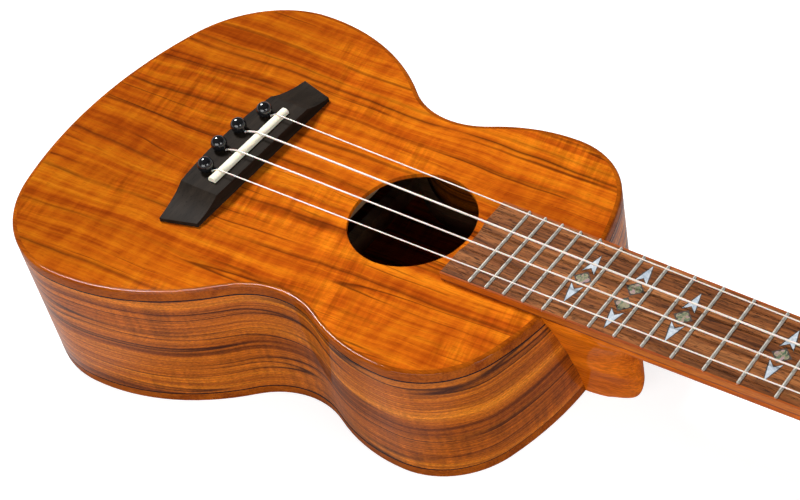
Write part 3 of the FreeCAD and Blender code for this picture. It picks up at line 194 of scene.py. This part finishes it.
def koa_top():
    """Lacquered koa: mottled orange ground, thin dark lengthwise streaks and a cross curl."""
    g = Graph("koa_top")
    x, y, z = g.axes()
    drift = g.noise(g.place, (5.0, 11.0, 0.0), 2.0)
    ripple = g.noise(g.place, (26.0, 60.0, 0.0), 2.0)
    sway = g.math("MULTIPLY", g.math("SUBTRACT", drift, 0.5), 0.020)
    sway = g.math("MULTIPLY_ADD", g.math("SUBTRACT", ripple, 0.5), 0.0030, sway)
    slant = g.math("MULTIPLY", g.math("MINIMUM", y, 0.0), g.math("MULTIPLY", x, 1.2))
    across = g.math("ADD", g.math("ADD", y, sway), slant)
    grain_place = g.vector(x, across, 0.0)

    bands = g.noise(grain_place, (3.5, 130.0, 0.0), 6.0, 0.66)
    blotches = g.noise(g.place, (130.0, 45.0, 0.0), 4.0, 0.6)
    mixed = g.math("ADD", g.math("MULTIPLY", bands, 0.72), g.math("MULTIPLY", blotches, 0.28))
    ground = g.ramp(mixed, (
        (0.34, (0.225, 0.030, 0.002)),
        (0.44, (0.350, 0.060, 0.003)),
        (0.51, (0.465, 0.098, 0.004)),
        (0.58, (0.545, 0.138, 0.005)),
        (0.69, (0.640, 0.195, 0.008)),
    ))
    tone = g.range(x, -0.07, 0.08, 0.75, 1.14)
    threads = g.noise(grain_place, (11.0, 560.0, 0.0), 4.0, 0.65)
    colour = g.tint(g.tint(ground, tone), g.range(threads, 0.32, 0.62, 0.88, 1.05))

    contour = g.noise(grain_place, (1.3, 42.0, 0.0), 2.0, 0.5)
    hairlines = g.ridges(contour, 6.0, 0.060)
    hair_fade = g.range(g.noise(grain_place, (12.0, 60.0, 0.0), 3.0, 0.6), 0.42, 0.58)
    colour = g.blend(g.product(hairlines, hair_fade, 0.8), colour, (0.070, 0.013, 0.002))

    share = g.math("MULTIPLY_ADD", across, 1 / (2 * TOP_HALF_WIDTH), 0.5)
    wide = g.ramp(share, line_stops(TOP_LINES, TOP_HALF_WIDTH, TOP_LINE_WIDTH, TOP_LINE_STRENGTHS))
    broken = g.range(g.noise(grain_place, (9.0, 60.0, 0.0), 3.0, 0.6), 0.30, 0.46)
    frayed = g.range(threads, 0.30, 0.60, 1.0, 0.70)
    colour = g.blend(g.product(wide, broken, frayed), colour, (0.040, 0.009, 0.002))

    curl_fade = g.range(g.noise(g.place, (16.0, 22.0, 0.0), 2.0), 0.44, 0.64)
    curl_place = g.vector(g.math("MULTIPLY_ADD", y, 0.25, x), y, z)
    curl = g.noise(curl_place, (360.0, 26.0, 0.0), 3.0, 0.6)
    curl = g.range(curl, 0.30, 0.70, -0.26, 0.24)
    colour = g.tint(colour, g.math("MULTIPLY_ADD", curl, curl_fade, 1.0))

    pores = g.noise(grain_place, (190.0, 2600.0, 0.0), 2.0, 0.5)
    pores = g.range(pores, 0.56, 0.68)
    colour = g.blend(g.math("MULTIPLY", pores, 0.4), colour, (0.13, 0.022, 0.002))
    normal = g.bump(threads, 0.00003, 0.2)
    return g.surface(Base_Color=colour, Roughness=0.6, Specular_IOR_Level=0.0, Normal=normal,
                     Coat_Weight=0.35, Coat_Roughness=0.03, Coat_IOR=1.42)


def koa_side():
    """The sides' koa: darker, with many dark lines that follow the bend of the body."""
    g = Graph("koa_side")
    x, y, z = g.axes()
    drift = g.noise(g.place, (7.0, 7.0, 9.0), 2.0)
    height = g.math("ADD", z, g.math("MULTIPLY", g.math("SUBTRACT", drift, 0.5), 0.016))
    height = g.math("MULTIPLY_ADD", x, 0.035, height)
    grain_place = g.vector(x, y, height)

    bands = g.noise(grain_place, (3.0, 3.0, 190.0), 5.0, 0.66)
    ground = g.ramp(bands, (
        (0.30, (0.110, 0.022, 0.002)),
        (0.42, (0.250, 0.052, 0.003)),
        (0.53, (0.440, 0.104, 0.005)),
        (0.68, (0.640, 0.190, 0.010)),
    ))
    contour = g.noise(grain_place, (2.2, 2.2, 62.0), 2.0)
    hairlines = g.ridges(contour, 9.0, 0.14)
    hair_fade = g.range(g.noise(grain_place, (8.0, 8.0, 90.0), 2.0), 0.32, 0.54, 0.35, 1.0)
    colour = g.blend(g.product(hairlines, hair_fade, 0.92), ground, (0.030, 0.006, 0.002))
    fine = g.noise(grain_place, (16.0, 16.0, 1500.0), 3.0, 0.6)
    colour = g.tint(colour, g.range(fine, 0.28, 0.66, 0.62, 1.18))
    speck = g.noise(g.place, (700.0, 700.0, 2200.0), 3.0, 0.65)
    colour = g.tint(colour, g.range(speck, 0.32, 0.68, 0.70, 1.26))
    curl_fade = g.range(g.noise(g.place, (20.0, 20.0, 30.0), 2.0), 0.45, 0.65)
    curl = g.noise(g.place, (300.0, 300.0, 22.0), 2.0)
    curl = g.range(curl, 0.3, 0.7, -0.2, 0.2)
    colour = g.tint(colour, g.math("MULTIPLY_ADD", curl, curl_fade, 1.0))
    normal = g.bump(fine, 0.00003, 0.2)
    return g.surface(Base_Color=colour, Roughness=0.45, Specular_IOR_Level=0.05, Normal=normal,
                     Coat_Weight=0.4, Coat_Roughness=0.03, Coat_IOR=1.42)


def plain_wood(name, low, high, along, across, gloss):
    """Straight-grained lacquered wood between two shades, with short pores."""
    g = Graph(name)
    stretch = (along, across, across)
    bands = g.noise(g.place, stretch, 4.0, 0.6)
    fine = g.noise(g.place, tuple(8 * amount for amount in stretch), 3.0, 0.6)
    pores = g.noise(g.place, (140.0, 1800.0, 1800.0), 2.0)
    colour = g.ramp(bands, ((0.28, low), (0.68, high)))
    colour = g.tint(colour, g.range(fine, 0.3, 0.7, 0.78, 1.14))
    colour = g.tint(colour, g.range(pores, 0.58, 0.72, 1.0, 0.7))
    normal = g.bump(fine, 0.00005, 0.3)
    return g.surface(Base_Color=colour, Roughness=0.45, Specular_IOR_Level=0.0, Normal=normal,
                     Coat_Weight=0.45 * gloss, Coat_Roughness=0.06, Coat_IOR=1.44)


def rosewood():
    """Oiled rosewood of the fretboard: brown, with dark pores and dark lines."""
    g = Graph("rosewood")
    drift = g.noise(g.place, (9.0, 30.0, 0.0), 2.0)
    x, y, z = g.axes()
    across = g.math("MULTIPLY_ADD", g.math("SUBTRACT", drift, 0.5), 0.006, y)
    grain_place = g.vector(x, across, z)
    bands = g.noise(grain_place, (9.0, 210.0, 210.0), 5.0, 0.62)
    colour = g.ramp(bands, (
        (0.28, (0.075, 0.022, 0.006)),
        (0.44, (0.195, 0.060, 0.016)),
        (0.58, (0.300, 0.104, 0.030)),
        (0.76, (0.390, 0.155, 0.052)),
    ))
    lines = g.noise(grain_place, (14.0, 760.0, 760.0), 3.0, 0.6)
    colour = g.tint(colour, g.range(lines, 0.34, 0.6, 0.48, 1.08))
    pores = g.noise(grain_place, (230.0, 2400.0, 2400.0), 2.0)
    pits = g.range(pores, 0.56, 0.64)
    colour = g.blend(g.math("MULTIPLY", pits, 0.8), colour, (0.022, 0.008, 0.005))
    normal = g.bump(g.math("SUBTRACT", lines, pits), 0.00008, 0.4)
    rough = g.range(pores, 0.4, 0.7, 0.48, 0.65)
    return g.surface(Base_Color=colour, Roughness=rough, Specular_IOR_Level=0.08, Normal=normal)


def board_edge():
    """The fretboard's bound edge: orange-red wood, with painted shade as a dark line along its
    foot.
    """
    g = Graph("board_edge")
    low, high = (Vector(corner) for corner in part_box("fretboard"))
    foot = UP.dot(Vector((high.x, 0.0, low.z)))
    over = g.add("ShaderNodeVectorMath", operation="DOT_PRODUCT")
    g.plug(over.inputs[0], g.place)
    g.plug(over.inputs[1], tuple(UP))
    height = g.math("SUBTRACT", over.outputs["Value"], foot)
    bands = g.noise(g.place, (18.0, 260.0, 260.0), 4.0, 0.6)
    colour = g.ramp(bands, ((0.28, (0.36, 0.066, 0.004)), (0.68, (0.56, 0.150, 0.012))))
    fine = g.noise(g.place, (160.0, 2100.0, 2100.0), 3.0, 0.6)
    colour = g.tint(colour, g.range(fine, 0.3, 0.7, 0.72, 1.12))
    # Painted shade: a dark line along the foot of the edge, where it meets the wood beneath.
    foot_shade = g.range(height, 0.0002, 0.0009, 1.0, 0.0)
    colour = g.blend(g.product(foot_shade, 0.8), colour, (0.110, 0.016, 0.005))
    rim = g.range(height, 0.0034, 0.0039)
    colour = g.blend(g.product(rim, 0.55), colour, (0.200, 0.030, 0.006))
    return g.surface(Base_Color=colour, Roughness=0.45, Specular_IOR_Level=0.1,
                     Coat_Weight=0.4, Coat_Roughness=0.08, Coat_IOR=1.45)


def dark_bridge_wood():
    """Nearly black bridge wood with a soft sheen and faint grain along its length."""
    g = Graph("bridge_wood")
    bands = g.noise(g.place, (260.0, 12.0, 260.0), 4.0, 0.6)
    pores = g.noise(g.place, (2200.0, 180.0, 2200.0), 2.0)
    colour = g.ramp(bands, ((0.3, (0.010, 0.007, 0.005)), (0.7, (0.024, 0.017, 0.012))))
    colour = g.tint(colour, g.range(pores, 0.58, 0.7, 1.0, 0.45))
    normal = g.bump(g.math("SUBTRACT", bands, pores), 0.00008, 0.35)
    return g.surface(Base_Color=colour, Roughness=0.50, Specular_IOR_Level=0.03, Normal=normal)


def bare_wood():
    """The unlacquered wood inside the body."""
    g = Graph("bare_wood")
    bands = g.noise(g.place, (10.0, 160.0, 160.0), 4.0, 0.6)
    colour = g.ramp(bands, ((0.3, (0.20, 0.115, 0.055)), (0.7, (0.33, 0.205, 0.105))))
    fine = g.noise(g.place, (60.0, 1400.0, 1400.0), 2.0)
    colour = g.tint(colour, g.range(fine, 0.3, 0.7, 0.8, 1.1))
    return g.surface(Base_Color=colour, Roughness=0.75, Normal=g.bump(fine, 0.0001, 0.4))


# ---------------------------------------------------------------- bone, shell, plastic, metal

def bone():
    """The creamy bone of the nut and the saddle, with faint streaks."""
    g = Graph("bone")
    cloud = g.noise(g.place, (90.0, 60.0, 90.0), 3.0)
    streak = g.noise(g.place, (700.0, 60.0, 700.0), 3.0)
    colour = g.ramp(cloud, ((0.3, (0.88, 0.83, 0.64)), (0.7, (0.96, 0.93, 0.77))))
    colour = g.tint(colour, g.range(streak, 0.3, 0.7, 0.94, 1.02))
    return g.surface(Base_Color=colour, Roughness=0.32, Subsurface_Weight=0.15,
                     Subsurface_Scale=0.002, Normal=g.bump(streak, 0.00003, 0.3))


def black_gloss():
    """Polished black of the bridge pins and the tuner buttons."""
    g = Graph("black_gloss")
    haze = g.noise(g.place, (500.0, 500.0, 500.0), 3.0)
    rough = g.range(haze, 0.3, 0.7, 0.10, 0.16)
    colour = g.ramp(haze, ((0.3, (0.006, 0.006, 0.007)), (0.7, (0.011, 0.011, 0.012))))
    return g.surface(Base_Color=colour, Roughness=rough, Specular_IOR_Level=0.55)


def shell(name, stops, cells, gloss):
    """Pearl or abalone: cells of shifting colour under a clear polish."""
    g = Graph(name)
    layer = g.noise(g.place, (cells, 0.6 * cells, cells), 4.0, 0.65, 1.2)
    colour = g.ramp(layer, stops)
    ripple = g.noise(g.place, (4 * cells, 4 * cells, 4 * cells), 2.0, 0.5, 2.0)
    colour = g.tint(colour, g.range(ripple, 0.3, 0.7, 0.82, 1.12))
    return g.surface(Base_Color=colour, Roughness=0.28, Metallic=gloss, Coat_Weight=0.4,
                     Coat_Roughness=0.08, Normal=g.bump(ripple, 0.00003, 0.3))


def pearl():
    """Pale blue-grey shell of the arrow inlays."""
    return shell("pearl", (
        (0.30, (0.34, 0.42, 0.50)),
        (0.45, (0.46, 0.53, 0.60)),
        (0.60, (0.60, 0.64, 0.68)),
        (0.75, (0.50, 0.49, 0.58)),
    ), 260.0, 0.1)


def abalone():
    """Dark green and pink shell of the clover inlays."""
    return shell("abalone", (
        (0.30, (0.03, 0.07, 0.05)),
        (0.42, (0.10, 0.15, 0.09)),
        (0.52, (0.34, 0.30, 0.18)),
        (0.60, (0.40, 0.22, 0.26)),
        (0.72, (0.42, 0.46, 0.34)),
    ), 420.0, 0.15)


def inlay_filler():
    """The dark filler that shows as a line round each shell inlay."""
    g = Graph("inlay_filler")
    grit = g.noise(g.place, (1500.0, 1500.0, 1500.0), 3.0)
    colour = g.ramp(grit, ((0.3, (0.014, 0.007, 0.003)), (0.7, (0.045, 0.022, 0.011))))
    return g.surface(Base_Color=colour, Roughness=0.6, Normal=g.bump(grit, 0.00003, 0.4))


def metal(name, shade, rough, share=1.0):
    """A polished metal with fine wear that varies its roughness."""
    g = Graph(name)
    wear = g.noise(g.place, (700.0, 260.0, 700.0), 4.0, 0.6)
    dark = tuple(0.86 * part for part in shade)
    colour = g.ramp(wear, ((0.3, dark), (0.7, shade)))
    roughness = g.range(wear, 0.3, 0.7, rough, rough + 0.06)
    return g.surface(Base_Color=colour, Metallic=share, Roughness=roughness,
                     Normal=g.bump(wear, 0.00002, 0.2))


def string_plastic():
    """The pale pinkish plastic of the strings."""
    g = Graph("string_plastic")
    haze = g.noise(g.place, (40.0, 900.0, 900.0), 2.0)
    colour = g.ramp(haze, ((0.3, (0.66, 0.58, 0.52)), (0.7, (0.80, 0.72, 0.66))))
    return g.surface(Base_Color=colour, Roughness=0.25, Subsurface_Weight=0.2,
                     Subsurface_Scale=0.001)


def dot_white():
    """The white of the dots along the fretboard's edge."""
    g = Graph("dot_white")
    haze = g.noise(g.place, (900.0, 900.0, 900.0), 2.0)
    colour = g.ramp(haze, ((0.3, (0.68, 0.68, 0.64)), (0.7, (0.80, 0.80, 0.76))))
    return g.surface(Base_Color=colour, Roughness=0.3)


def paint(material, *prefixes):
    """Gives a material to every CAD node whose name starts with one of the prefixes."""
    for name, node in frame["nodes"].items():
        if name.startswith(prefixes):
            for place in node.material_slots:
                place.material = material


def paint_all():
    """A later line overrides an earlier one, so the longer names come after the shorter ones."""
    binding = plain_wood("binding_wood", (0.20, 0.034, 0.002), (0.37, 0.084, 0.004),
                         14.0, 160.0, 0.7)
    purfling = plain_wood("purfling_wood", (0.010, 0.006, 0.005), (0.020, 0.012, 0.010),
                          20.0, 300.0, 0.8)
    neck = plain_wood("neck_wood", (0.40, 0.068, 0.002), (0.76, 0.175, 0.006), 16.0, 130.0, 0.8)
    paint(koa_top(), "soundboard", "headstock_faceplate", "back_plate")
    paint(koa_side(), "side_bass", "side_treble")
    paint(binding, "top_binding", "back_binding", "end_graft")
    paint(purfling, "top_purfling", "back_purfling")
    paint(neck, "neck")
    paint(rosewood(), "fretboard")
    paint(board_edge(), "fretboard_binding")
    paint(dark_bridge_wood(), "bridge")
    paint(bare_wood(), "neck_block", "tail_block", "top_lining", "back_lining", "bridge_plate",
          "soundboard_braces", "back_braces", "back_seam_strip")
    paint(metal("chrome", (0.78, 0.78, 0.80), 0.08), "tuner_")
    paint(metal("brass", (0.70, 0.50, 0.22), 0.22), "tuner_gear")
    paint(metal("nickel_silver", (0.66, 0.64, 0.57), 0.28, share=0.6), "frets")
    paint(string_plastic(), "string_")
    paint(black_gloss(), "bridge_pin", "tuner_button")
    paint(bone(), "saddle", "nut")
    paint(pearl(), "pearl_inlays")
    paint(abalone(), "abalone_inlays")
    paint(dot_white(), "side_dots")


# ---------------------------------------------------------------- added pieces

# How far the arrows' filler shows, how far all filler stands over the board, and half the
# diagonal of the diamond of filler round each clover, in metres.
FILLER_WIDTH = 0.00055
FILLER_RISE = 0.00002
DIAMOND_REACH = 0.0042
# Two vertices closer than this are one, and a face this near to UP is a top face.
WELD = 1e-6
TOP_COSINE = 0.99


def top_outlines(node):
    """The upper faces of a CAD node as a bmesh, with their outlines as boundary edges."""
    source = bmesh.new()
    source.from_mesh(frame["nodes"][node].data)
    bmesh.ops.remove_doubles(source, verts=source.verts, dist=WELD)
    others = [face for face in source.faces if face.normal.dot(UP) < TOP_COSINE]
    bmesh.ops.delete(source, geom=others, context="FACES")
    return source


def edge_offset(corner):
    """Where the filler round an arrow ends: a fixed distance out from each corner."""
    outward = Vector()
    for side in [link for link in corner.link_edges if link.is_boundary]:
        away = (side.verts[1].co - side.verts[0].co).normalized().cross(UP)
        middle = (side.verts[0].co + side.verts[1].co) / 2
        if away.dot(side.link_faces[0].calc_center_median() - middle) > 0:
            away.negate()
        outward += away
    return corner.co + outward.normalized() * FILLER_WIDTH


def island_middles(source):
    """The middle of every separate outline, keyed by vertex."""
    middles = {}
    waiting = set(source.verts)
    while waiting:
        group = {waiting.pop()}
        fringe = list(group)
        while fringe:
            vertex = fringe.pop()
            near = {edge.other_vert(vertex) for edge in vertex.link_edges} - group
            group |= near
            fringe += list(near)
        waiting -= group
        low = Vector(min(vertex.co[axis] for vertex in group) for axis in range(3))
        high = Vector(max(vertex.co[axis] for vertex in group) for axis in range(3))
        middles.update({vertex: (low + high) / 2 for vertex in group})
    return middles


def diamond_offset(corner, middle):
    """Where the filler round a clover ends: on a diamond about its middle."""
    away = corner.co - middle
    return middle + away * (DIAMOND_REACH / (abs(away.x) + abs(away.y)))


def inlay_outline(node, material, diamonds):
    """Dark filler round every inlay of one CAD node, almost flush with the board."""
    source = top_outlines(node)
    middles = island_middles(source)
    ring = bmesh.new()
    for edge in [edge for edge in source.edges if edge.is_boundary]:
        inner = list(edge.verts)
        if diamonds:
            outer = [diamond_offset(corner, middles[corner]) for corner in inner]
        else:
            outer = [edge_offset(corner) for corner in inner]
        places = [inner[0].co, inner[1].co, outer[1], outer[0]]
        quad = ring.faces.new([ring.verts.new(place + UP * FILLER_RISE) for place in places])
        quad.normal_update()
        if quad.normal.dot(UP) < 0:
            quad.normal_flip()
    mesh = bpy.data.meshes.new(node + "_filler")
    ring.to_mesh(mesh)
    ring.free()
    source.free()
    mesh.materials.append(material)
    piece = bpy.data.objects.new(node + "_filler", mesh)
    bpy.context.scene.collection.objects.link(piece)
    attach(piece, "frame")


# ---------------------------------------------------------------- stage

FLOOR_REACH = 6.0
# The floor lies just under the back, so that the two faces are not in one plane.
FLOOR_LEVEL = -0.0002
# The paper's own light: this much to everything, and this much more where the camera sees it.
FLOOR_GLOW = 0.10
FLOOR_SEEN_GLOW = 0.72


def floor():
    """White paper that looks evenly lit and throws back about half of the light it gets."""
    mesh = bpy.data.meshes.new("floor")
    corners = [(FLOOR_REACH * side_x, FLOOR_REACH * side_y, FLOOR_LEVEL)
               for side_x, side_y in ((-1, -1), (1, -1), (1, 1), (-1, 1))]
    mesh.from_pydata(corners, [], [(0, 1, 2, 3)])
    thing = bpy.data.objects.new("floor", mesh)
    bpy.context.scene.collection.objects.link(thing)
    g = Graph("floor_paper")
    mottle = g.noise(g.place, (3.0, 3.0, 3.0), 2.0)
    colour = g.ramp(mottle, ((0.3, 0.44), (0.7, 0.48)))
    seen = g.add("ShaderNodeLightPath").outputs["Is Camera Ray"]
    glow = g.math("MULTIPLY_ADD", seen, FLOOR_SEEN_GLOW, FLOOR_GLOW)
    mesh.materials.append(g.surface(Base_Color=colour, Roughness=0.9, Specular_IOR_Level=0.1,
                                    Emission_Color=(1.0, 1.0, 1.0), Emission_Strength=glow))


def area_light(name, place, aim, width, height, power):
    """A rectangular lamp at place that faces aim: lengths in metres, power in watts."""
    lamp = bpy.data.lights.new(name, "AREA")
    lamp.shape = "RECTANGLE"
    lamp.size = width
    lamp.size_y = height
    lamp.energy = power
    thing = bpy.data.objects.new(name, lamp)
    bpy.context.scene.collection.objects.link(thing)
    thing.location = place
    thing.rotation_euler = (Vector(aim) - Vector(place)).to_track_quat("-Z", "Y").to_euler()


def sky():
    """A room that is white at the height of the floor's edge and dark overhead."""
    world = bpy.data.worlds.new("room")
    world.use_nodes = True
    tree = world.node_tree
    place = tree.nodes.new("ShaderNodeTexCoord")
    split = tree.nodes.new("ShaderNodeSeparateXYZ")
    tree.links.new(place.outputs["Generated"], split.inputs[0])
    fade = tree.nodes.new("ShaderNodeMapRange")
    fade.interpolation_type = "SMOOTHSTEP"
    tree.links.new(split.outputs[2], fade.inputs[0])
    low, high, white, dark = 0.02, 0.40, 1.0, 0.03
    for socket, value in zip(fade.inputs[1:5], (low, high, white, dark)):
        socket.default_value = value
    tree.links.new(fade.outputs[0], tree.nodes["Background"].inputs["Color"])
    tree.nodes["Background"].inputs["Strength"].default_value = 0.9
    bpy.context.scene.world = world


def camera():
    """The photograph's view: from the neck end on the treble side, looking down."""
    lens = bpy.data.cameras.new("camera")
    lens.sensor_width = 36.0
    lens.lens = 76.223
    thing = bpy.data.objects.new("camera", lens)
    bpy.context.scene.collection.objects.link(thing)
    place = Vector((0.48707, -0.37611, 0.53635))
    aim = Vector((0.097794, -0.017616, 0.066964))
    roll = math.radians(-15.571)
    turn = (aim - place).to_track_quat("-Z", "Y") @ Quaternion((0, 0, 1), roll)
    thing.location = place
    thing.rotation_mode = "QUATERNION"
    thing.rotation_quaternion = turn
    bpy.context.scene.camera = thing


def lights():
    """A key light from beyond the tail, a wide fill light and a small one on the neck."""
    middle = (0.08, 0.0, 0.06)
    area_light("key_light", (-1.08, 0.42, 1.64), middle, 0.5, 0.5, 58.0)
    area_light("fill_light", (0.5, -1.9, 0.9), middle, 1.8, 0.9, 27.0)
    area_light("neck_light", (1.7, -0.3, 0.8), middle, 0.6, 0.6, 9.0)


camera()
floor()
sky()
lights()
paint_all()
FILLER = inlay_filler()
inlay_outline("pearl_inlays", FILLER, diamonds=False)
inlay_outline("abalone_inlays", FILLER, diamonds=True)
bpy.context.scene.view_settings.view_transform = "Standard"
